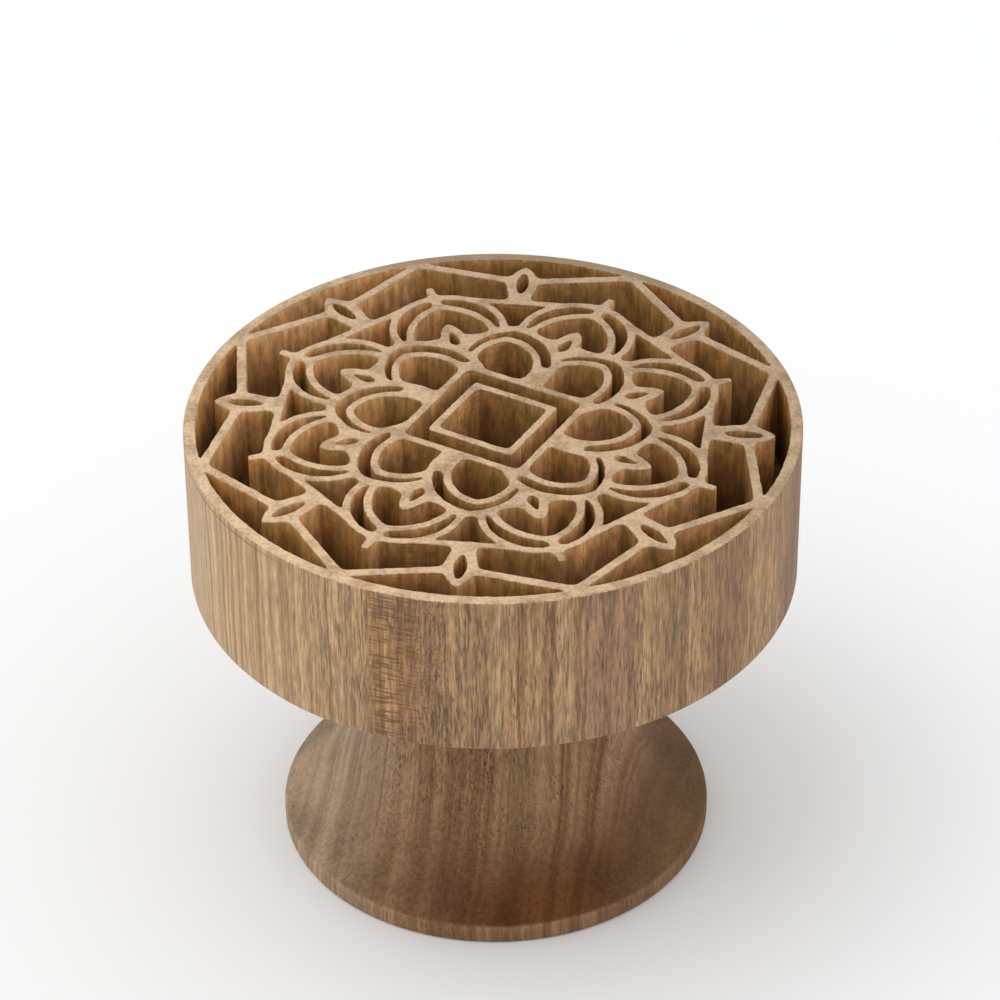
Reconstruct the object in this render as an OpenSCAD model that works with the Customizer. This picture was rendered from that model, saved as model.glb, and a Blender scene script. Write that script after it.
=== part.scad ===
// Wooden cookie stamp: a round head with a carved rosette, doweled to a turned spool handle.
// Lengths are in millimetres. The foot stands on z = 0 and the carved face looks up.
// One bud of the rosette points along +X, and the petals lie half a step away from the buds.

/* [Head] */
// Diameter of the head
head_d = 66; // [62:0.5:80]
// Height of the head
head_h = 19; // [16:0.1:26]
// Bevel round the edge of the carved face
head_bevel = 0.3; // [0.1:0.05:0.6]
// Rounding of the lower edge of the head
head_round = 0.7; // [0.2:0.1:2]

/* [Handle] */
// Height of the handle, from the table to the head
handle_h = 34.2; // [26:0.1:60]
// Diameter of the flared foot
foot_d = 47.9; // [42:0.1:60]
// Height of the upright edge of the foot
foot_edge = 2.2; // [1:0.1:4]
// Rounding of the lower corner of the foot
foot_round = 0.5; // [0.2:0.1:0.8]
// Diameter of the waist, the thinnest place
waist_d = 26; // [20:0.5:32]
// Height of the waist above the table
waist_z = 20; // [14:0.5:24]
// Diameter of the seat, where the handle meets the head
seat_d = 36; // [32:0.5:50]

/* [Dowel joint] */
// Diameter of the dowel
dowel_d = 12; // [8:0.5:14]
// Depth of the dowel hole in the handle
handle_hole = 16; // [10:0.5:22]
// Wood left between the dowel hole and the carving
hole_web = 2; // [1:0.1:4]
// Room for glue round the dowel
glue_gap = 0.05; // [0.02:0.01:0.2]
// Room for glue at each end of the dowel
end_gap = 0.5; // [0.2:0.1:1]
// Bevel on the ends of the dowel
dowel_bevel = 0.8; // [0.3:0.1:1.5]
// Diameter of the flutes along the dowel
flute_d = 0.9; // [0.4:0.1:1.4]

/* [Carving] */
// Depth of the carved hollows
carve_depth = 10; // [4:0.5:11]
// Width of the plain rim round the carving
rim_w = 1.3; // [0.8:0.1:2.5]
// Width of the raised lines
line_w = 0.85; // [0.7:0.05:1.1]
// Width of the star's lines
star_line_w = 1.05; // [0.8:0.05:1.4]
// Wood left past the ends of the slots in leaves and buds
slot_end = 1.1; // [0.7:0.05:1.4]

/* [Centre] */
// Side of the outer square, along the middle of its line
square_side = 14.8; // [13:0.1:16]
// Step from the outer square to the inner one
square_step = 2.7; // [2:0.05:3.5]
// Distance from the square to the widest place of a cup
cup_lift = 2.6; // [2.2:0.05:3]
// Length of a cup, from its widest place to its tip
cup_len = 4.9; // [4.5:0.05:5.3]
// Width of a cup
cup_w = 7.3; // [6.9:0.05:7.6]
// Turn of the cups about the centre, in degrees
cup_turn = 0.9; // [0.5:0.1:1.2]
// Length of the bridge between two cups past their widest place
bridge_len = 0.5; // [0.2:0.05:0.8]
// Width of the bridge between two cups
bridge_w = 2; // [1.8:0.05:2.3]
// Step from the tip of a cup to the tip of the scallop round it
cup_band = 2.1; // [1.7:0.05:2.6]
// Distance from the widest place of a cup to that of the scallop
scallop_lift = 0.4; // [0.1:0.05:0.8]
// Width of a scallop
scallop_w = 10.45; // [10:0.05:11]
// Turn of the scallops about the centre against the cups, in degrees
scallop_turn = 0.9; // [0.5:0.1:1.2]

/* [Petals] */
// Width of the base that the leaves grow from, past the valley between two scallops
base_rise = 3.2; // [2.8:0.05:3.6]
// Length of a petal, from the valley to its tip
petal_len = 11.2; // [10:0.1:12]
// Radius of a petal's outer line
petal_r = 6.1; // [5.8:0.05:6.4]
// Step from the tip of a petal to the tip of the arch inside it
petal_band = 1.8; // [1.4:0.05:2.3]
// Length of the arch, from its widest place to its tip
arch_len = 6.45; // [6:0.05:7]
// Width of the arch
arch_w = 9.4; // [8.8:0.05:9.8]
// Length of the spike beyond the tip of a petal
spike_len = 2.2; // [1:0.1:3]
// Width of the spike
spike_w = 0.9; // [0.6:0.05:1.2]
// Length of the leaf inside a petal, from its widest place to its tip
leaf_len = 2.65; // [2.3:0.05:3.4]
// Width of the leaf
leaf_w = 2.65; // [2.4:0.05:3.2]
// Length of the kite-shaped slot in the leaf
leaf_slot_len = 3.3; // [2.8:0.05:3.6]
// Width of the slot in the leaf
leaf_slot_w = 1.45; // [1:0.05:1.6]
// Distance from the inner end of the slot in the leaf to its widest place
leaf_slot_wide = 1; // [0.7:0.05:1.4]

/* [Buds and star] */
// Step from the tip of a petal to the shoulders between the petals
shoulder_drop = 1.65; // [1.2:0.05:2.2]
// Gap between the tip of a bud and the rim
bud_gap = 1.4; // [0.8:0.1:2.4]
// Width of a bud
bud_w = 3.5; // [3:0.05:4]
// Width of the stem that carries a bud
stem_w = 2.6; // [2:0.05:3]
// Width of the slot in a bud
bud_slot_w = 1.4; // [0.8:0.05:1.7]
// Depth of the star's notches, from the rim
star_dip = 4.55; // [3:0.05:5.2]

/* [Hidden] */
$fn = 96;

// Extra length of a cutter past the face that it starts from
cut_over = 1;

// Counts of the rosette's repeats and of the dowel's flutes
folds = 8;
flutes = 16;
step = 360 / folds;
half_step = step / 2;

head_r = head_d / 2;
rim_r = head_r - rim_w;
stamp_h = handle_h + head_h;
half_line = line_w / 2;

// Radius of the two arcs of a pointed oval, from half its length and its width
function arc_radius(half_len, width) = half_len ^ 2 / width + width / 4;

// Stations of the rosette along its radius, worked out from the centre to the rim
square_half = square_side / 2;
inner_half = square_half - square_step;
cup_mid = square_half / cos(half_step) + cup_lift;
cup_tip = cup_mid + cup_len;
bridge_r = cup_mid + bridge_len;
scallop_mid = cup_mid + scallop_lift;
scallop_tip = cup_tip + cup_band;
scallop_arc = arc_radius(scallop_tip - scallop_mid, scallop_w);
scallop_shift = scallop_arc - scallop_w / 2;
valley_mid = scallop_mid * cos(half_step) - scallop_shift * sin(half_step);
valley_r = valley_mid + sqrt(valley_mid ^ 2 + scallop_arc ^ 2 - scallop_mid ^ 2 - scallop_shift ^ 2);
base_r = valley_r + base_rise;
petal_tip = valley_r + petal_len;
petal_c = petal_tip - petal_r;
arch_tip = petal_tip - petal_band;
leaf_tip = base_r + leaf_len;
leaf_slot_from = valley_r + slot_end;
leaf_slot_wide_r = leaf_slot_from + leaf_slot_wide;
shoulder_r = petal_tip - shoulder_drop;
shoulder_half = petal_c * sin(half_step);
bud_tip = rim_r - bud_gap;
star_notch = rim_r - star_dip;

// Radii of the two hollow curves of the spool, which meet upright at the waist
foot_r = foot_d / 2;
waist_r = waist_d / 2;
seat_r = seat_d / 2;
low_curve_r = ((waist_z - foot_edge) ^ 2 + (foot_r - waist_r) ^ 2) / (2 * (foot_r - waist_r));
high_curve_r = ((handle_h - waist_z) ^ 2 + (seat_r - waist_r) ^ 2) / (2 * (seat_r - waist_r));

dowel_r = dowel_d / 2;
hole_r = dowel_r + glue_gap;
head_hole = head_h - carve_depth - hole_web;
dowel_len = handle_hole + head_hole - 2 * end_gap;

// Copies of a shape on the directions of the buds, turned on by an angle
module round_the_rosette(turn = 0) {
    for (k = [0 : folds - 1])
        rotate(k * step + turn)
            children();
}

// Disc at a distance along +X
module disc(distance, radius) {
    translate([distance, 0])
        circle(radius);
}

// Pointed oval along +X, widest at one distance and with its tip at another, grown on all sides
module pointed(middle, tip, width, grow = 0) {
    arc_r = arc_radius(tip - middle, width);
    intersection_for (side = [-1, 1])
        translate([middle, side * (arc_r - width / 2)])
            circle(arc_r + grow);
}

// Pointed oval along +X between two distances
module almond(from, to, width) {
    pointed((from + to) / 2, to, width);
}

// Straight bar of a given width from one point to another
module bar(from, to, width) {
    run = to - from;
    translate(from)
        rotate(atan2(run[1], run[0]))
            translate([0, -width / 2])
                square([norm(run), width]);
}

// Square round the centre, with its corners on the petals' directions
module centre_square(half_side) {
    rotate(half_step + 45)
        square(2 * half_side, center = true);
}

// Kite along +X between two distances, widest at a third
module kite(from, wide, to, width) {
    polygon([[from, 0], [wide, -width / 2], [to, 0], [wide, width / 2]]);
}

module cup(grow) {
    rotate(cup_turn)
        pointed(cup_mid, cup_tip, cup_w, grow);
}

module scallop(grow) {
    rotate(-scallop_turn)
        pointed(scallop_mid, scallop_tip, scallop_w, grow);
}

module scallops(grow) {
    round_the_rosette()
        scallop(grow);
}

module petals(grow) {
    round_the_rosette(half_step)
        disc(petal_c, petal_r + grow);
}

// Two squares, one inside the other
module square_lines() {
    for (half_side = [square_half, inner_half])
        difference() {
            centre_square(half_side + half_line);
            centre_square(half_side - half_line);
        }
}

// One cup inside its scallop, with the bridge beside it, cut away where the next scallop laps over it
module lapped_cup() {
    difference() {
        union() {
            difference() {
                scallop(half_line);
                scallop(-half_line);
            }
            cup(half_line);
            rotate(-half_step - scallop_turn)
                bar([square_half, 0], [bridge_r, 0], bridge_w);
        }
        cup(-half_line);
        rotate(step)
            scallop(-half_line);
    }
}

// Ring of cups that stand on the square, each lapping over the one before it
module cup_lines() {
    difference() {
        round_the_rosette()
            lapped_cup();
        centre_square(square_half);
    }
}

// Base outside the scallops, with its leaves and their slots
module leaf_lines() {
    difference() {
        union() {
            circle(base_r);
            round_the_rosette(half_step)
                pointed(base_r, leaf_tip, leaf_w);
        }
        scallops(-half_line);
        circle(cup_mid);
        round_the_rosette(half_step)
            kite(leaf_slot_from, leaf_slot_wide_r, leaf_slot_from + leaf_slot_len, leaf_slot_w);
    }
}

// Outer line, arch and spike of each petal, outside the scallops
module petal_lines() {
    difference() {
        round_the_rosette(half_step) {
            difference() {
                disc(petal_c, petal_r + half_line);
                disc(petal_c, petal_r - half_line);
            }
            difference() {
                pointed(arch_tip - arch_len, arch_tip, arch_w, half_line);
                pointed(arch_tip - arch_len, arch_tip, arch_w, -half_line);
            }
            bar([arch_tip, 0], [petal_tip + spike_len, 0], spike_w);
        }
        scallops(0);
        circle(cup_mid);
    }
}

// One bud on its stem with its slot, on the +X direction
module bud() {
    difference() {
        union() {
            almond(shoulder_r, bud_tip, bud_w);
            bar([shoulder_r, 0], [(shoulder_r + bud_tip) / 2, 0], stem_w);
        }
        almond(shoulder_r + half_line + slot_end, bud_tip - slot_end, bud_slot_w);
    }
}

// Two straight lines from a notch of the star at one bud to its points on the rim
module star_lines() {
    for (side = [-1, 1])
        bar([star_notch, 0], rim_r * [cos(half_step), side * sin(half_step)], star_line_w);
}

// Buds with the shoulders that carry them and the star behind them, outside the petals
module bud_lines() {
    difference() {
        round_the_rosette() {
            bar([shoulder_r, -shoulder_half], [shoulder_r, shoulder_half], line_w);
            difference() {
                star_lines();
                almond(shoulder_r, bud_tip, bud_w);
            }
            bud();
        }
        petals(0);
    }
}

// Hollows of the carved face: the ground between the raised lines
module hollows() {
    difference() {
        circle(rim_r);
        square_lines();
        cup_lines();
        leaf_lines();
        petal_lines();
        bud_lines();
    }
}

// Half section of the head before it is carved
module head_section() {
    difference() {
        union() {
            square([head_r - head_round, head_h]);
            translate([0, head_round])
                square([head_r, head_h - head_round]);
            translate([head_r - head_round, head_round])
                circle(head_round);
        }
        translate([head_r - head_bevel, head_h])
            rotate(-45)
                square([2 * head_bevel, 2 * head_bevel]);
    }
}

// Half section of the handle, with its hollow curves as true arcs
module handle_section() {
    difference() {
        union() {
            square([foot_r - foot_round, waist_z]);
            translate([0, foot_round])
                square([foot_r, waist_z - foot_round]);
            translate([foot_r - foot_round, foot_round])
                circle(foot_round);
        }
        translate([waist_r + low_curve_r, waist_z])
            circle(low_curve_r);
    }
    difference() {
        translate([0, waist_z])
            square([seat_r, handle_h - waist_z]);
        translate([waist_r + high_curve_r, waist_z])
            circle(high_curve_r);
    }
}

module stamp_head() {
    color("tan")
        difference() {
            translate([0, 0, handle_h])
                rotate_extrude()
                    head_section();
            translate([0, 0, stamp_h - carve_depth])
                linear_extrude(carve_depth + cut_over)
                    hollows();
            translate([0, 0, handle_h - cut_over])
                cylinder(r = hole_r, h = head_hole + cut_over);
        }
}

module handle() {
    color("peru")
        difference() {
            rotate_extrude()
                handle_section();
            translate([0, 0, handle_h - handle_hole])
                cylinder(r = hole_r, h = handle_hole + cut_over);
        }
}

module joint_dowel() {
    color("burlywood")
        translate([0, 0, handle_h - handle_hole + end_gap])
            difference() {
                rotate_extrude()
                    polygon([
                        [0, 0],
                        [dowel_r - dowel_bevel, 0],
                        [dowel_r, dowel_bevel],
                        [dowel_r, dowel_len - dowel_bevel],
                        [dowel_r - dowel_bevel, dowel_len],
                        [0, dowel_len]
                    ]);
                for (k = [0 : flutes - 1])
                    rotate(k * 360 / flutes)
                        translate([dowel_r, 0, -cut_over])
                            cylinder(d = flute_d, h = dowel_len + 2 * cut_over);
            }
}

stamp_head();
handle();
joint_dowel();
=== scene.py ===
"""Looks of a wooden cookie stamp: a carved head on a turned spool handle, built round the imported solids."""

import math

import bmesh
import bpy
from mathutils import Matrix, Vector, noise


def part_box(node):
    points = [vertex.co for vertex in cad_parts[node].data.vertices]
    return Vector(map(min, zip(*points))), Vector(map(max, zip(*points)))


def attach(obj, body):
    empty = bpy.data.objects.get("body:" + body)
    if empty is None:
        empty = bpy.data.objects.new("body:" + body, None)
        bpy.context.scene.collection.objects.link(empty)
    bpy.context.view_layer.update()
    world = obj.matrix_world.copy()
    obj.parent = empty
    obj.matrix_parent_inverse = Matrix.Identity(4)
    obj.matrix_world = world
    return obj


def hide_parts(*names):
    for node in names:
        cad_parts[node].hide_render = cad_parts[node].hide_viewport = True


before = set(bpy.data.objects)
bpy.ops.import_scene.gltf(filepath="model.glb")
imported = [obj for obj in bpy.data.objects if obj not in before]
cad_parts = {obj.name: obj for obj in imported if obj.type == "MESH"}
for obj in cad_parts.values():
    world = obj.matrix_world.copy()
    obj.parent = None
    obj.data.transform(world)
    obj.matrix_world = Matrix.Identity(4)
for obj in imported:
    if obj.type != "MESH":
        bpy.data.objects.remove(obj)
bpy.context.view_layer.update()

# Units and welding
MM = 0.001
WELD = 0.001 * MM

# Room that the glue and the ends of the dowel have in their holes
GLUE_GAP = 0.05 * MM
END_GAP = 0.5 * MM

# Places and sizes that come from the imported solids
head_low, head_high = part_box("stamp_head")
_, handle_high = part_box("handle")
dowel_low, dowel_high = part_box("joint_dowel")
HEAD_R = head_high.x
HEAD_TOP = head_high.z
HEAD_UNDER = head_low.z
FOOT_R = handle_high.x
SEAT_Z = handle_high.z
HOLE_R = dowel_high.x + GLUE_GAP
HOLE_TOP = dowel_high.z + END_GAP
HOLE_FLOOR = dowel_low.z - END_GAP

# Turned shapes
RIM_ROUND = 0.3 * MM
UNDER_ROUND = 0.7 * MM
FOOT_EDGE = 2.2 * MM
FOOT_ROUND = 0.5 * MM
LIP_ROUND = 0.8 * MM
LIP_TURN = 62
WAIST_R = 13 * MM
WAIST_Z = 20 * MM
SEAT_R = 18 * MM
HEAD_FACETS = 640
HANDLE_FACETS = 256
RIM_STEPS = 4
UNDER_STEPS = 6
FOOT_STEPS = 5
LIP_STEPS = 6
FLARE_STEPS = 36
NECK_STEPS = 22
SHARP_FROM = math.radians(40)

# Carving
CARVE_DEPTH = 10 * MM
LOOKS_UP = 0.9
EDGE_ROUND = 0.18 * MM
EDGE_STEPS = 3
POINT_SPACING = 0.3 * MM
CORNER_SOFTENING = 4
WAVER = 0.14 * MM
WAVER_SIZE = 0.9 * MM
CHATTER = 0.07 * MM
CHATTER_PER_MM = (0.8, 0.8, 0.07)
FLOOR_RELIEF = 0.35 * MM
FLOOR_DIP = 1.6 * MM
FLOOR_FACE = 1 * MM
FLOOR_SPLITS = 3
WALL_STEPS = (0.08, 0.3, 0.6, 0.9, 1)

# Growth layers, counted in millimetres across the blank, along a direction that is turned from the X axis.
# A side is the layer where something begins and the one where it is full. A run lies between two layers.
LAYER_TURN = math.radians(-6)
LAYER_SWAY = 2.5
SWAY_PER_MM = (0.07, 0.07, 0.02)
LAYER_WANDER = 0.5
WANDER_PER_MM = (0.4, 0.4, 0.13)
PALE_SIDE = (-2.0, -22.0)
SAP_SIDE = (-21.0, -27.0)
HEART_SIDE = (-14.0, 8.0)
OLIVE_SIDE = (12.0, 22.0)
SCORED_SIDE = (-12.0, -20.0)
PALE_TINT_SIDE = (-4.0, -16.0)
BUSY_FROM_LEFT = (-20.0, -4.0)
BUSY_FROM_RIGHT = (34.0, 22.0)
POROUS_SIDE = (-20.0, -8.0)
YELLOW_RUNS = ((4.5, 8.2), (21.0, 25.0))
RED_RUN = (16.3, 20.8)
FLECK_RUN = (-5.4, -0.4)
DOT_RUN = (-0.5, 3.0)
PALE_STRIPES = ((-13.0, 0.5), (-9.0, 1.4), (8.3, 0.3), (14.6, 0.4), (21.4, 0.3))

# Other places on the wood, in millimetres
FLECK_SIZE = (2.4, 1.0, 0.25)
FOOT_EDGE_FADE = (3.0, 1.5)
BACK_RIM = (25.0, 30.0)
SCORE_DROP = 0.8

# Shares and finish of the wood
FOOT_END_SHARE = 0.35
# Painted shade per millimetre that darkens the lands to the right and to the back
LAND_PAINTED_SHADE = 0.005
ROUGHNESS = (0.55, 0.7)
BUMP_HEIGHT = 0.06 * MM
BUMP_STRENGTH = 0.6

# Colours of the wood, with painted light and painted shade among them. Those that darken, tint or paint light
# onto another colour are multiplied with it.
DARK_LAYER = (0.23, 0.117, 0.05)
LIGHT_LAYER = (0.49, 0.297, 0.15)
PALE_DARK = (0.44, 0.27, 0.135)
PALE_LIGHT = (0.72, 0.485, 0.275)
SAPWOOD = (0.63, 0.46, 0.29)
RED_LAYER = (0.33, 0.18, 0.115)
YELLOW_LAYER = (0.39, 0.265, 0.125)
FLECKED_LAYER = (0.38, 0.165, 0.04)
DARK_LINE = (0.13, 0.065, 0.03)
PORE = (0.12, 0.055, 0.024)
FLECK = (0.14, 0.06, 0.024)
END_TINT = (0.4, 0.265, 0.172)
END_OLIVE = (0.24, 0.16, 0.075)
HOLLOW_WOOD = (0.4, 0.25, 0.128)
HOLLOW_OLIVE = (0.88, 0.82, 0.45)
HOLLOW_BROWN = (0.97, 0.8, 0.46)
# Painted light: hollow walls that face right are lightened by this, as if lit from the front-right
HOLLOW_PAINTED_LIGHT = (1.75, 1.55, 1.2)
# Painted shade deep in the hollows
HOLLOW_PAINTED_SHADE = (0.09, 0.04, 0.014)
LAND_DARK = (0.33, 0.205, 0.108)
LAND_LIGHT = (0.7, 0.495, 0.3)
# Painted shade on the rim at the back
RIM_PAINTED_SHADE = (0.3, 0.2, 0.11)
HANDLE_TINT = (0.89, 0.89, 0.96)
HANDLE_PALE_TINT = (0.83, 0.92, 1.12)
DOWEL_TINT = (1.3, 1.4, 1.5)

# Light from all round, one soft lamp, and the floor as it is seen and as it throws light back
AMBIENT = 0.84
LAMP_PLACE = (-0.8, -0.3, 1.8)
LAMP_SIZE = 1.8
LAMP_WATTS = 9
FLOOR_HALF = 3
FLOOR_SEEN = (0.99, 0.997, 1)
FLOOR_BOUNCE = (0.75, 0.74, 0.72)

# Camera, as azimuth and elevation about the point that it looks at
AIM = Vector((-0.00038, 0.00844, 0.03642))
CAMERA_AZIMUTH = math.radians(7.24)
CAMERA_ELEVATION = math.radians(35.496)
CAMERA_DISTANCE = 0.46083
CAMERA_ROLL = math.radians(-0.411)
LENS = 150.12
SENSOR = 36


class Wire:
    """An output socket that takes part in sums: each operator adds a Math or Vector Math node."""

    def __init__(self, graph, socket):
        self.graph = graph
        self.socket = socket

    def other(self, name):
        """Another output of the same node."""
        return Wire(self.graph, self.socket.node.outputs[name])

    def __add__(self, term):
        return self.graph.sum_node("ADD", self, term)

    def __radd__(self, term):
        return self.graph.sum_node("ADD", term, self)

    def __sub__(self, term):
        return self.graph.sum_node("SUBTRACT", self, term)

    def __rsub__(self, term):
        return self.graph.sum_node("SUBTRACT", term, self)

    def __mul__(self, term):
        return self.graph.sum_node("MULTIPLY", self, term)

    def __rmul__(self, term):
        return self.graph.sum_node("MULTIPLY", term, self)

    def __truediv__(self, term):
        return self.graph.sum_node("DIVIDE", self, term)

    def __rtruediv__(self, term):
        return self.graph.sum_node("DIVIDE", term, self)

    def __gt__(self, term):
        return self.graph.sum_node("GREATER_THAN", self, term)

    def __lt__(self, term):
        return self.graph.sum_node("LESS_THAN", self, term)


class Graph:
    """Adds nodes to one shader or geometry tree."""

    def __init__(self, tree):
        self.tree = tree
        tree.nodes.clear()

    def node(self, kind, settings=None, sockets=None, out=0):
        """Adds a node of any kind, with its settings first and then the values or links of its sockets."""
        made = self.tree.nodes.new(kind)
        for name, value in (settings or {}).items():
            setattr(made, name, value)
        for key, value in (sockets or {}).items():
            for term in value if isinstance(value, list) else [value]:
                self.plug(made.inputs[key], term)
        return Wire(self, made.outputs[out]) if made.outputs else None

    def plug(self, socket, value):
        """Links a wire to a socket, or sets the socket's value."""
        if isinstance(value, Wire):
            self.tree.links.new(value.socket, socket)
        elif socket.type == "VECTOR" and isinstance(value, (int, float)):
            socket.default_value = (value, value, value)
        elif socket.type == "RGBA" and len(value) == 3:
            socket.default_value = (*value, 1)
        else:
            socket.default_value = value

    def sum_node(self, operation, *terms):
        """One step of arithmetic on numbers, or on vectors and colours where a term is one."""
        wide = any(self.is_wide(term) for term in terms)
        kind = "ShaderNodeVectorMath" if wide else "ShaderNodeMath"
        return self.node(kind, {"operation": operation}, dict(enumerate(terms)))

    def is_wide(self, term):
        """Whether a term is a vector or a colour."""
        if isinstance(term, Wire):
            return term.socket.type in ("VECTOR", "RGBA")
        return isinstance(term, (tuple, Vector))

    def dot(self, first, second):
        """How far one vector runs along another."""
        settings = {"operation": "DOT_PRODUCT"}
        return self.node("ShaderNodeVectorMath", settings, {0: first, 1: second}, out="Value")

    def split(self, vector):
        """The three parts of a vector."""
        parts = self.node("ShaderNodeSeparateXYZ", sockets={0: vector}, out="X")
        return parts, parts.other("Y"), parts.other("Z")

    def ramp(self, value, low, high, to_low=0.0, to_high=1.0):
        """A smooth step from one value to another as the input goes from low to high."""
        sockets = {"Value": value, "From Min": low, "From Max": high, "To Min": to_low, "To Max": to_high}
        if high < low:
            sockets.update({"From Min": high, "From Max": low, "To Min": to_high, "To Max": to_low})
        return self.node("ShaderNodeMapRange", {"interpolation_type": "SMOOTHSTEP"}, sockets)

    def noise(self, vector, detail=2.0, roughness=0.5, out="Fac"):
        """Soft noise about one unit across, from 0 to 1."""
        sockets = {"Vector": vector, "Scale": 1.0, "Detail": detail, "Roughness": roughness}
        return self.node("ShaderNodeTexNoise", sockets=sockets, out=out)

    def noise_along(self, value, detail=2.0):
        """Soft noise along one line, about one unit long."""
        sockets = {"W": value, "Scale": 1.0, "Detail": detail}
        return self.node("ShaderNodeTexNoise", {"noise_dimensions": "1D"}, sockets)

    def mix(self, share, first, second):
        """A colour between two colours."""
        return self.node("ShaderNodeMix", {"data_type": "RGBA"}, {0: share, 6: first, 7: second}, out=2)


# Shapes

def arc(centre, radius, start, end, steps):
    """Points on an arc from one angle to another, in degrees, both ends included."""
    angles = [math.radians(start + (end - start) * k / steps) for k in range(steps + 1)]
    return [(centre[0] + radius * math.cos(a), centre[1] + radius * math.sin(a)) for a in angles]


def hollow_arc(low, high, waist, steps):
    """Points of an arc with its middle level with the waist, from one height to another."""
    (end_r, end_z) = low if low != waist else high
    radius = ((waist[1] - end_z) ** 2 + (end_r - waist[0]) ** 2) / (2 * (end_r - waist[0]))
    heights = [low[1] + (high[1] - low[1]) * k / steps for k in range(steps + 1)]
    return [(waist[0] + radius - math.sqrt(radius**2 - (z - waist[1]) ** 2), z) for z in heights]


def head_section():
    """Half section of the head from the edge of its face to the end of its dowel hole."""
    return [
        *arc((HEAD_R - RIM_ROUND, HEAD_TOP - RIM_ROUND), RIM_ROUND, 90, 0, RIM_STEPS),
        *arc((HEAD_R - UNDER_ROUND, HEAD_UNDER + UNDER_ROUND), UNDER_ROUND, 0, -90, UNDER_STEPS),
        (HOLE_R, HEAD_UNDER),
        (HOLE_R, HOLE_TOP),
        (0, HOLE_TOP),
    ]


def handle_section():
    """Half section of the handle from the middle of its foot to the floor of its dowel hole."""
    waist = (WAIST_R, WAIST_Z)
    lip = (FOOT_R - LIP_ROUND, FOOT_EDGE - LIP_ROUND * math.tan(math.radians(LIP_TURN / 2)))
    return [
        (0, 0),
        *arc((FOOT_R - FOOT_ROUND, FOOT_ROUND), FOOT_ROUND, -90, 0, FOOT_STEPS),
        *arc(lip, LIP_ROUND, 0, LIP_TURN, LIP_STEPS),
        *hollow_arc((FOOT_R, FOOT_EDGE), waist, waist, FLARE_STEPS)[1:],
        *hollow_arc(waist, (SEAT_R, SEAT_Z), waist, NECK_STEPS)[1:],
        (HOLE_R, SEAT_Z),
        (HOLE_R, HOLE_FLOOR),
        (0, HOLE_FLOOR),
    ]


def wall_section():
    """Section of a carved wall, from the land over the edge of a hollow and down to its floor."""
    edge = arc((-EDGE_ROUND, -EDGE_ROUND), EDGE_ROUND, 90, 0, EDGE_STEPS)
    return [*edge, *[(0, -CARVE_DEPTH * share) for share in WALL_STEPS]]


def hollow_outlines(node):
    """The outlines of the hollows in a solid's top face, with the land on their left, without the rim."""
    solid = bmesh.new()
    solid.from_mesh(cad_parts[node].data)
    bmesh.ops.remove_doubles(solid, verts=solid.verts, dist=WELD)
    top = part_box(node)[1].z
    lands = {f for f in solid.faces if f.normal.z > LOOKS_UP and all(v.co.z > top - WELD for v in f.verts)}
    following = {}
    for land in lands:
        for corner in land.loops:
            if not lands.issuperset(corner.edge.link_faces):
                following[corner.vert] = corner.link_loop_next.vert
    outlines = []
    for start in solid.verts:
        outline = []
        while start in following:
            outline.append(start.co.xy)
            start = following.pop(start)
        if outline and max(point.length for point in outline) < HEAD_R - 2 * RIM_ROUND:
            outlines.append([tuple(point) for point in outline])
    solid.free()
    return outlines


def line_object(name, lines, closed):
    """A curve object with one straight-sided line for each list of points."""
    curve = bpy.data.curves.new(name, "CURVE")
    curve.dimensions = "3D"
    for line in lines:
        spline = curve.splines.new("POLY")
        spline.points.add(len(line) - 1)
        for point, (x, y) in zip(spline.points, line):
            point.co = (x, y, 0, 1)
        spline.use_cyclic_u = closed
    made = bpy.data.objects.new(name, curve)
    bpy.context.scene.collection.objects.link(made)
    return made


# Geometry trees

def new_tree(name, inputs):
    """A geometry tree with named inputs. Gives its graph and a wire for each input."""
    tree = bpy.data.node_groups.new(name, "GeometryNodeTree")
    tree.interface.new_socket("Geometry", in_out="INPUT", socket_type="NodeSocketGeometry")
    tree.interface.new_socket("Geometry", in_out="OUTPUT", socket_type="NodeSocketGeometry")
    for label, kind in inputs.items():
        tree.interface.new_socket(label, in_out="INPUT", socket_type="NodeSocket" + kind)
    graph = Graph(tree)
    source = graph.node("NodeGroupInput")
    return graph, {label: source.other(label) for label in ["Geometry", *inputs]}


def end_tree(graph, shape, material):
    """The last nodes of a tree: welded, realized and with its material."""
    shape = graph.node("GeometryNodeMergeByDistance", sockets={"Geometry": shape, "Distance": WELD})
    shape = graph.node("GeometryNodeRealizeInstances", sockets={"Geometry": shape})
    shape = graph.node("GeometryNodeSetMaterial", sockets={"Geometry": shape, "Material": material})
    graph.node("NodeGroupOutput", sockets={"Geometry": shape})
    return graph.tree


def moved(graph, shape, offset):
    """A shape with its points moved."""
    return graph.node("GeometryNodeSetPosition", sockets={"Geometry": shape, "Offset": offset})


def swept(graph, path, section):
    """A section with its height along Y, flipped because a sweep points Y down, carried round a path."""
    upright = graph.node("GeometryNodeTransform", sockets={"Geometry": section, "Scale": (1, -1, 1)})
    path = graph.node("GeometryNodeSetCurveNormal", {"mode": "Z_UP"}, {"Curve": path})
    return graph.node("GeometryNodeCurveToMesh", sockets={"Curve": path, "Profile Curve": upright})


def lathe_tree():
    """Turns a half section, drawn with its radius along X and its height along Y, about the Z axis."""
    inputs = {"Facets": "Int", "Spindle": "Float", "Wood": "Material"}
    graph, given = new_tree("turned_on_lathe", inputs)
    spindle = given["Spindle"]
    circle = {"Resolution": given["Facets"], "Radius": spindle}
    path = graph.node("GeometryNodeCurvePrimitiveCircle", sockets=circle)
    inward = graph.node("ShaderNodeCombineXYZ", sockets={"X": 0 - spindle})
    section = moved(graph, given["Geometry"], inward)
    shape = swept(graph, path, section)
    return end_tree(graph, shape, given["Wood"])


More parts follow.
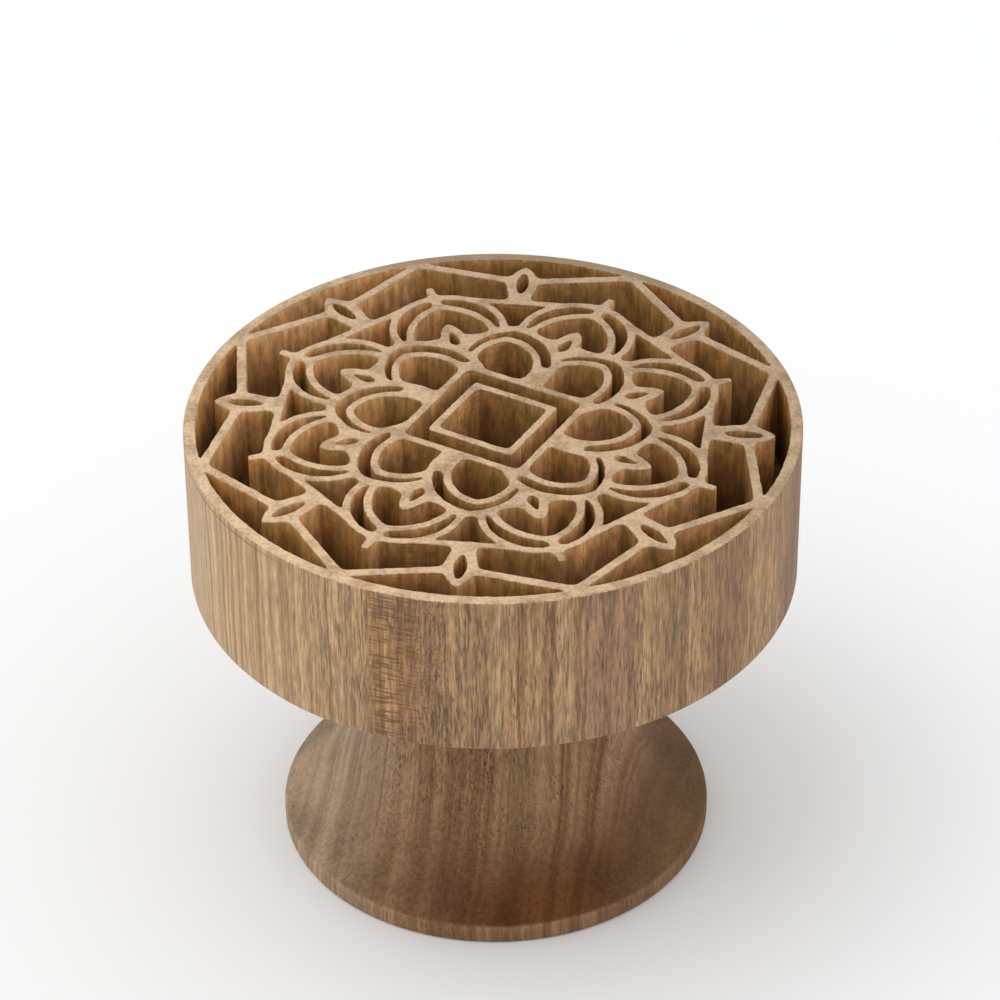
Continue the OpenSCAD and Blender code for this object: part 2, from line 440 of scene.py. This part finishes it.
def carving_tree():
    """Cuts hollows into a round face at z = 0: the lands left standing, and the walls and floors."""
    inputs = {
        "Wall Section": "Object",
        "Rim Radius": "Float",
        "Rim Facets": "Int",
        "Point Spacing": "Float",
        "Corner Softening": "Int",
        "Waver": "Float",
        "Waver Size": "Float",
        "Edge Round": "Float",
        "Depth": "Float",
        "Chatter": "Float",
        "Wood": "Material",
    }
    graph, given = new_tree("carved_rosette", inputs)
    place = graph.node("GeometryNodeInputPosition")

    # Outlines of the hollows, whose inner corners are left softer by a round cutter than those of the lands
    even = {"Curve": given["Geometry"], "Length": given["Point Spacing"]}
    paths = graph.node("GeometryNodeResampleCurve", {"mode": "LENGTH"}, even)
    blur = {"Value": place, "Iterations": given["Corner Softening"]}
    soft = graph.node("GeometryNodeBlurAttribute", {"data_type": "FLOAT_VECTOR"}, blur)
    paths = graph.node("GeometryNodeSetCurveNormal", {"mode": "Z_UP"}, {"Curve": paths})
    side = graph.node("GeometryNodeInputNormal")
    drift = soft - place
    paths = moved(graph, paths, drift * ((graph.dot(drift, side) > 0) * 0.5 + 0.5))
    unsteady = graph.noise(place / given["Waver Size"], detail=4.0, out="Color") - (0.5, 0.5, 0.5)
    paths = moved(graph, paths, unsteady * (2, 2, 0) * given["Waver"])

    # Lands
    edges = moved(graph, paths, side * (0 - given["Edge Round"]))
    circle = {"Resolution": given["Rim Facets"], "Radius": given["Rim Radius"]}
    rim = graph.node("GeometryNodeCurvePrimitiveCircle", sockets=circle)
    outlines = graph.node("GeometryNodeJoinGeometry", sockets={"Geometry": [edges, rim]})
    lands = graph.node("GeometryNodeFillCurve", sockets={"Curve": outlines})

    # Walls, with the upright ripple that a cutter leaves between the edge and the floor
    drawn = {"Object": given["Wall Section"]}
    section = graph.node("GeometryNodeObjectInfo", sockets=drawn, out="Geometry")
    walls = swept(graph, paths, section)
    height = graph.split(place)[2]
    sunk = (0 - height) / given["Depth"]
    ripple = graph.noise(place * (1 / MM) * CHATTER_PER_MM, detail=3.0) - 0.5
    middle = graph.ramp(sunk, 0.02, 0.2) * graph.ramp(sunk, 0.97, 0.9)
    walls = moved(graph, walls, side * (ripple * middle * given["Chatter"] * 2))

    # Floors
    floors = graph.node("GeometryNodeFillCurve", sockets={"Curve": paths})
    sink = graph.node("ShaderNodeCombineXYZ", sockets={"Z": 0 - given["Depth"]})
    floors = moved(graph, floors, sink)

    shape = graph.node("GeometryNodeJoinGeometry", sockets={"Geometry": [lands, walls, floors]})
    return end_tree(graph, shape, given["Wood"])


def grown(source, tree, values):
    """The plain mesh that a tree makes of a source object, which is then removed."""
    modifier = source.modifiers.new(tree.name, "NODES")
    modifier.node_group = tree
    for item in tree.interface.items_tree:
        if item.in_out == "INPUT" and item.name in values:
            modifier[item.identifier] = values[item.name]
    evaluated = source.evaluated_get(bpy.context.evaluated_depsgraph_get())
    mesh = bpy.data.meshes.new_from_object(evaluated)
    source.modifiers.remove(modifier)
    bpy.data.objects.remove(source)
    return mesh


def welded(meshes):
    """One closed shape from meshes that share their edges, with its faces outwards."""
    shape = bmesh.new()
    for mesh in meshes:
        shape.from_mesh(mesh)
        bpy.data.meshes.remove(mesh)
    bmesh.ops.remove_doubles(shape, verts=shape.verts, dist=WELD)
    bmesh.ops.recalc_face_normals(shape, faces=shape.faces)
    for face in shape.faces:
        face.material_index = 0
    return shape


def uneven_floors(shape, level):
    """Breaks the hollows' floors into small faces and lets them rise and dip, but not along the walls."""
    def floors():
        return [f for f in shape.faces if all(abs(v.co.z - level) < WELD for v in f.verts)]

    for _ in range(FLOOR_SPLITS):
        ground = set(floors())
        inner = {e for f in ground for e in f.edges if ground.issuperset(e.link_faces)}
        long = [e for e in inner if e.calc_length() > FLOOR_FACE]
        bmesh.ops.subdivide_edges(shape, edges=long, cuts=1)
        bmesh.ops.triangulate(shape, faces=floors())
        ground = set(floors())
        inner = [e for e in shape.edges if e.link_faces and ground.issuperset(e.link_faces)]
        bmesh.ops.beautify_fill(shape, faces=list(ground), edges=inner)
    ground = set(floors())
    for vert in {v for f in ground for v in f.verts if ground.issuperset(v.link_faces)}:
        vert.co.z += FLOOR_RELIEF * noise.noise(vert.co.xyz / FLOOR_DIP)


def finished(name, shape, wood):
    """One object from a closed shape, smooth between its sharp edges."""
    mesh = bpy.data.meshes.new(name)
    shape.to_mesh(mesh)
    shape.free()
    mesh.materials.append(wood)
    mesh.shade_smooth()
    mesh.set_sharp_from_angle(angle=SHARP_FROM)
    made = bpy.data.objects.new(name, mesh)
    bpy.context.scene.collection.objects.link(made)
    return made


# Materials

def new_material(name):
    """An empty material and the graph of its tree."""
    material = bpy.data.materials.new(name)
    material.use_nodes = True
    return material, Graph(material.node_tree)


class Grain:
    """What runs through the whole blank, head and handle alike, in millimetres at a point of a surface."""

    def __init__(self, graph):
        self.graph = graph
        self.place = graph.node("ShaderNodeTexCoord", out="Object") * (1 / MM)
        self.x, self.y, self.height = graph.split(self.place)
        level = {0: self.place * (1, 1, 0)}
        self.radius = graph.node("ShaderNodeVectorMath", {"operation": "LENGTH"}, level, out="Value")
        facing = graph.node("ShaderNodeNewGeometry", out="Normal")
        self.facing_right, _, facing_up = graph.split(facing)

        # Growth layers, which sway and wander on their way through the blank
        across = self.x * math.cos(LAYER_TURN) + self.y * math.sin(LAYER_TURN)
        beside = self.y * math.cos(LAYER_TURN) - self.x * math.sin(LAYER_TURN)
        turned = {0: across, 1: beside, 2: self.height}
        self.along_rays = graph.node("ShaderNodeCombineXYZ", sockets=turned)
        sway = graph.noise(self.place * SWAY_PER_MM, detail=1.0) - 0.5
        wander = graph.noise(self.place * WANDER_PER_MM, detail=1.0) - 0.5
        self.layer = across + sway * LAYER_SWAY + wander * LAYER_WANDER

        # How far a face shows end grain. The edge of the foot is taken as partly end grain.
        foot = graph.ramp(self.height, *FOOT_EDGE_FADE) * FOOT_END_SHARE
        self.end = graph.ramp(facing_up * facing_up, 0.1, 0.7) * (1 - foot) + foot
        self.long = 1 - self.end
        self.flecked = self.between(*FLECK_RUN, 1.0) * (self.long * 0.7 + 0.3)

    def towards(self, side, to_low=0.0, to_high=1.0):
        """A smooth step from one growth layer to another."""
        return self.graph.ramp(self.layer, *side, to_low, to_high)

    def between(self, low, high, soft=0.3):
        """1 between two growth layers and 0 beyond them."""
        rise = self.graph.ramp(self.layer, low - soft, low + soft)
        return rise * self.graph.ramp(self.layer, high + soft, high - soft)

    def along_layers(self, per_mm, start, low=0.35, high=0.65, detail=2.0):
        """Noise that changes from layer to layer alone, spread over the range from 0 to 1."""
        layers = self.graph.noise_along(self.layer * per_mm + start, detail=detail)
        return self.graph.ramp(layers, low, high)

    def threads(self, width, length, low=0.38, high=0.62, detail=2.0):
        """Noise in upright threads of a given width and length, spread over the range from 0 to 1."""
        threads = self.graph.noise(self.place * (1 / width, 1 / width, 1 / length), detail=detail)
        return self.graph.ramp(threads, low, high)

    def patches(self, per_mm, low=0.35, high=0.65, detail=2.0, roughness=0.5, start=0.0):
        """Noise in patches, spread over the range from 0 to 1."""
        patches = self.graph.noise(self.place * per_mm + start, detail=detail, roughness=roughness)
        return self.graph.ramp(patches, low, high)


def growth_layers(grain, strength):
    """Brown layers, paler towards one side of the blank, with some that are pale, yellow, red or dark."""
    mix = grain.graph.mix
    bands = grain.along_layers(0.4, 3.0)
    lines = grain.along_layers(1.8, 7.0, detail=3.0)
    pale_side = grain.towards(PALE_SIDE)
    ring = bands * 0.5 + (lines - 0.5) * grain.long * (pale_side * 0.5 + 0.4) + 0.25
    colour = mix(ring, DARK_LAYER, LIGHT_LAYER)
    colour = mix(pale_side * 0.78, colour, mix(ring, PALE_DARK, PALE_LIGHT))
    colour = mix(grain.towards(SAP_SIDE) * 0.5, colour, SAPWOOD)
    for place, half in PALE_STRIPES:
        stripe = grain.between(place - half, place + half, half + 0.2)
        colour = mix(stripe * 0.4 * grain.long, colour, PALE_LIGHT)
    for run in YELLOW_RUNS:
        colour = mix(grain.between(*run, 0.8) * 0.4 * grain.long, colour, YELLOW_LAYER)
    colour = mix(grain.between(*RED_RUN) * (grain.long * 0.35 + 0.15), colour, RED_LAYER)
    colour = mix(grain.flecked * (strength - 0.5) * 0.65, colour, FLECKED_LAYER)
    seams = grain.along_layers(1.3, 21.0, 0.64, 0.7, detail=1.0)
    return mix(seams * grain.long * 0.35, colour, DARK_LINE)


def upright_threads(grain, colour, strength):
    """Threads, clusters of pores, dots and ray flecks. Gives the colour, fine threads and relief."""
    mix = grain.graph.mix
    busy = grain.towards(BUSY_FROM_LEFT, 0.5, 1.0) * grain.towards(BUSY_FROM_RIGHT, 0.9, 1.0)
    busy = busy * (grain.long * 0.6 + 0.4)
    coarse = grain.threads(0.9, 9.0)
    middle = grain.threads(0.45, 4.0)
    fine = grain.threads(0.22, 1.6, detail=3.0)
    hairs = grain.threads(0.14, 3.0)
    strands = (coarse * 0.2 + middle * 0.35 + fine * 0.42 + hairs * 0.28 - 0.625) * busy
    colour = colour * (strands * strength + 1.0)

    clusters = grain.patches((0.35, 0.35, 0.1), 0.4, 0.6, detail=1.0)
    porous = grain.towards(POROUS_SIDE, 0.3, 1.0) * busy
    pores = grain.threads(0.2, 2.0, 0.57, 0.62) * (clusters * 0.5 + 0.2) * porous
    dots = grain.threads(0.24, 0.45, 0.56, 0.62) * grain.between(*DOT_RUN, 0.5) * (grain.long * 0.7 + 0.3)
    colour = mix(pores + dots * 0.6, colour, PORE)

    dashes = grain.graph.ramp(grain.graph.noise(grain.along_rays / FLECK_SIZE, detail=1.0), 0.5, 0.58)
    flecks = dashes * grain.along_layers(0.9, 5.0, 0.3, 0.46) * grain.flecked
    colour = mix(flecks * (strength - 0.4) * 1.3, colour, FLECK)
    relief = fine * 0.6 + coarse * 0.4 - pores - dots * 0.5 - flecks * 0.4
    return colour, fine, relief


def darker_ends(grain, colour, share):
    """End grain drinks light, so a face that looks up or down is darker, browner, patchy and dotted."""
    mix = grain.graph.mix
    heart = grain.towards(HEART_SIDE, 0.15, 1.0)
    colour = mix(grain.end * heart * share, colour, colour * END_TINT)
    colour = mix(grain.end * grain.towards(OLIVE_SIDE) * share * 0.5, colour, END_OLIVE)
    clouds = grain.patches((0.12, 0.12, 0.05), detail=3.0) - 0.5
    mottles = grain.patches(2.2) - 0.5
    colour = colour * ((clouds * 0.4 + mottles * 0.24) * grain.end + 1.0)
    dots = grain.threads(0.32, 5.0, 0.66, 0.72) * grain.end
    return mix(dots * 0.6, colour, PORE)


def carved_face(grain, colour, relief):
    """Brown hollows, pale sanded lands and a scored line below the rim. Gives the colour and the relief."""
    mix, ramp = grain.graph.mix, grain.graph.ramp
    rim = HEAD_R / MM
    top = HEAD_TOP / MM

    # Hollows, with painted shade that darkens them with depth and painted light on the walls that face right
    inside = ramp(grain.radius, rim - 0.8, rim - 1.1)
    sunk = ramp(grain.height, top - 0.05, top - 0.3) * inside
    # Painted shade that grows with depth in the hollows
    painted_depth_shade = ramp(grain.height, top - 0.5, top - CARVE_DEPTH / MM)
    # Painted light on the hollow walls that face right
    painted_light_right = ramp(grain.facing_right, 0.0, 0.7)
    stains = grain.patches((0.22, 0.22, 0.12), 0.3, 0.7)
    stain = mix(stains, HOLLOW_OLIVE, HOLLOW_BROWN)
    shades = grain.patches((0.8, 0.8, 0.35), detail=4.0, roughness=0.65, start=9.0)
    hollow = mix(0.6, colour, HOLLOW_WOOD) * mix(painted_light_right, stain, HOLLOW_PAINTED_LIGHT)
    hollow = mix(painted_depth_shade * 0.58, hollow * (shades * 0.6 + 0.74), HOLLOW_PAINTED_SHADE)

    # The scored line outside, then the hollows
    below = grain.height - (top - SCORE_DROP)
    score = ramp(below * below, 0.02, 0.004) * grain.towards(SCORED_SIDE) * (1 - inside)
    colour = mix(score * 0.6, colour, DARK_LINE)
    colour = mix(sunk, colour, hollow)

    # Lands, with painted shade that darkens them to the right and to the back, and on the rim at the back
    clouds = grain.patches(0.4, 0.32, 0.6, detail=4.0, roughness=0.6)
    specks = grain.patches(2.2, 0.38, 0.6)
    grit = grain.patches(4.5, 0.38, 0.6)
    worn = clouds * 0.55 + specks * 0.28 + grit * 0.17
    cream = mix(worn, LAND_DARK, LAND_LIGHT) * (1.0 - grain.x * LAND_PAINTED_SHADE - grain.y * LAND_PAINTED_SHADE)
    # Painted shade on the rim at the back
    back_rim_shade = ramp(grain.radius, rim - 1.5, rim - 1.1) * ramp(grain.y, *BACK_RIM)
    cream = mix(back_rim_shade * 0.8, cream, RIM_PAINTED_SHADE)
    on_top = ramp(grain.height + (specks - 0.5) * 0.04, top - 0.18, top - 0.05)
    colour = mix(on_top, colour, cream)
    return colour, relief * (1 - on_top) + (specks + grit) * 0.5 * on_top


def wood(name, strength=0.95, end_grain=1.0, shine=0.5, carved=False, tint=None, pale_tint=None):
    """Brown wood with upright grain, with darker end grain and, where it is carved, a carved face."""
    material, graph = new_material(name)
    grain = Grain(graph)
    colour = growth_layers(grain, strength)
    colour, fine, relief = upright_threads(grain, colour, strength)
    colour = darker_ends(grain, colour, end_grain)
    if carved:
        colour, relief = carved_face(grain, colour, relief)
    if tint:
        colour = colour * graph.mix(grain.towards(PALE_TINT_SIDE), tint, pale_tint or tint)
    raised = {"Height": relief, "Distance": BUMP_HEIGHT, "Strength": BUMP_STRENGTH}
    sockets = {
        "Base Color": colour,
        "Roughness": graph.ramp(fine, 0.0, 1.0, *ROUGHNESS),
        "Specular IOR Level": shine,
        "Normal": graph.node("ShaderNodeBump", sockets=raised),
    }
    shader = graph.node("ShaderNodeBsdfPrincipled", sockets=sockets)
    graph.node("ShaderNodeOutputMaterial", sockets={"Surface": shader})
    return material


carved_wood = wood("carved_wood", end_grain=0.4, carved=True)
turned_wood = wood("turned_wood", strength=0.5, shine=0.1, tint=HANDLE_TINT, pale_tint=HANDLE_PALE_TINT)
dowel_wood = wood("dowel_wood", strength=0.5, end_grain=0.2, tint=DOWEL_TINT)


# Pieces

def carved_head():
    """The head, turned on the lathe and then carved with the hollows of its solid."""
    turned = {"Facets": HEAD_FACETS, "Spindle": MM, "Wood": carved_wood}
    body = grown(line_object("head_section", [head_section()], False), lathe, turned)
    wall = line_object("wall_section", [wall_section()], False)
    outlines = line_object("hollow_outlines", hollow_outlines("stamp_head"), True)
    cut = {
        "Wall Section": wall,
        "Rim Radius": HEAD_R - RIM_ROUND,
        "Rim Facets": HEAD_FACETS,
        "Point Spacing": POINT_SPACING,
        "Corner Softening": CORNER_SOFTENING,
        "Waver": WAVER,
        "Waver Size": WAVER_SIZE,
        "Edge Round": EDGE_ROUND,
        "Depth": CARVE_DEPTH,
        "Chatter": CHATTER,
        "Wood": carved_wood,
    }
    face = grown(outlines, carving_tree(), cut)
    bpy.data.objects.remove(wall)
    face.transform(Matrix.Translation((0, 0, HEAD_TOP)))
    shape = welded([body, face])
    uneven_floors(shape, HEAD_TOP - CARVE_DEPTH)
    return finished("carved_head", shape, carved_wood)


def spool_handle():
    """The spool, turned on the lathe with its foot, waist, seat and dowel hole."""
    turned = {"Facets": HANDLE_FACETS, "Spindle": MM, "Wood": turned_wood}
    body = grown(line_object("handle_section", [handle_section()], False), lathe, turned)
    return finished("spool_handle", welded([body]), turned_wood)


lathe = lathe_tree()
for piece, node, slot in [
    (carved_head(), "stamp_head", "carved_wood"),
    (spool_handle(), "handle", "turned_wood"),
]:
    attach(piece, "root")
    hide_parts(node)
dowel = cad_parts["joint_dowel"]
dowel.data.materials.clear()
dowel.data.materials.append(dowel_wood)


# Stage

def pale_floor():
    """A floor that is white to the eye and a little duller as a light of its own."""
    half = FLOOR_HALF
    mesh = bpy.data.meshes.new("floor")
    corners = [(-half, -half, 0), (half, -half, 0), (half, half, 0), (-half, half, 0)]
    mesh.from_pydata(corners, [], [(0, 1, 2, 3)])
    material, graph = new_material("floor")
    ray = graph.node("ShaderNodeLightPath", out="Is Camera Ray")
    seen = ray + ray.other("Is Glossy Ray") + ray.other("Is Transmission Ray")
    colour = graph.mix(seen, FLOOR_BOUNCE, FLOOR_SEEN)
    sockets = {"Base Color": colour, "Roughness": 1, "Specular IOR Level": 0}
    shader = graph.node("ShaderNodeBsdfPrincipled", sockets=sockets)
    graph.node("ShaderNodeOutputMaterial", sockets={"Surface": shader})
    mesh.materials.append(material)
    floor = bpy.data.objects.new("floor", mesh)
    bpy.context.scene.collection.objects.link(floor)


def soft_box(name, place, target, size, watts):
    """A round lamp that points at a target."""
    light = bpy.data.lights.new(name, "AREA")
    light.shape = "DISK"
    light.size = size
    light.energy = watts
    lamp = bpy.data.objects.new(name, light)
    lamp.location = place
    lamp.rotation_euler = (Vector(target) - Vector(place)).to_track_quat("-Z", "Y").to_euler()
    bpy.context.scene.collection.objects.link(lamp)


def studio():
    """Even light from all round, which the camera sees as white, and the soft lamp."""
    world = bpy.data.worlds.new("studio")
    world.use_nodes = True
    graph = Graph(world.node_tree)
    seen = graph.node("ShaderNodeLightPath", out="Is Camera Ray")
    strength = seen * (1 - AMBIENT) + AMBIENT
    ambient = graph.node("ShaderNodeBackground", sockets={"Color": (1, 1, 1), "Strength": strength})
    graph.node("ShaderNodeOutputWorld", sockets={"Surface": ambient})
    bpy.context.scene.world = world
    soft_box("key", LAMP_PLACE, (0, 0, HEAD_TOP), LAMP_SIZE, LAMP_WATTS)


def photo_camera():
    """The camera, set as for the photograph."""
    camera = bpy.data.objects.new("camera", bpy.data.cameras.new("camera"))
    camera.data.lens = LENS
    camera.data.sensor_width = SENSOR
    level = math.cos(CAMERA_ELEVATION)
    aside, ahead = level * math.sin(CAMERA_AZIMUTH), level * math.cos(CAMERA_AZIMUTH)
    back = Vector((aside, -ahead, math.sin(CAMERA_ELEVATION)))
    camera.location = AIM + CAMERA_DISTANCE * back
    turn = back.to_track_quat("Z", "Y").to_matrix() @ Matrix.Rotation(CAMERA_ROLL, 3, "Z")
    camera.rotation_euler = turn.to_euler()
    bpy.context.scene.collection.objects.link(camera)
    bpy.context.scene.camera = camera


pale_floor()
studio()
photo_camera()
bpy.context.scene.view_settings.view_transform = "Standard"
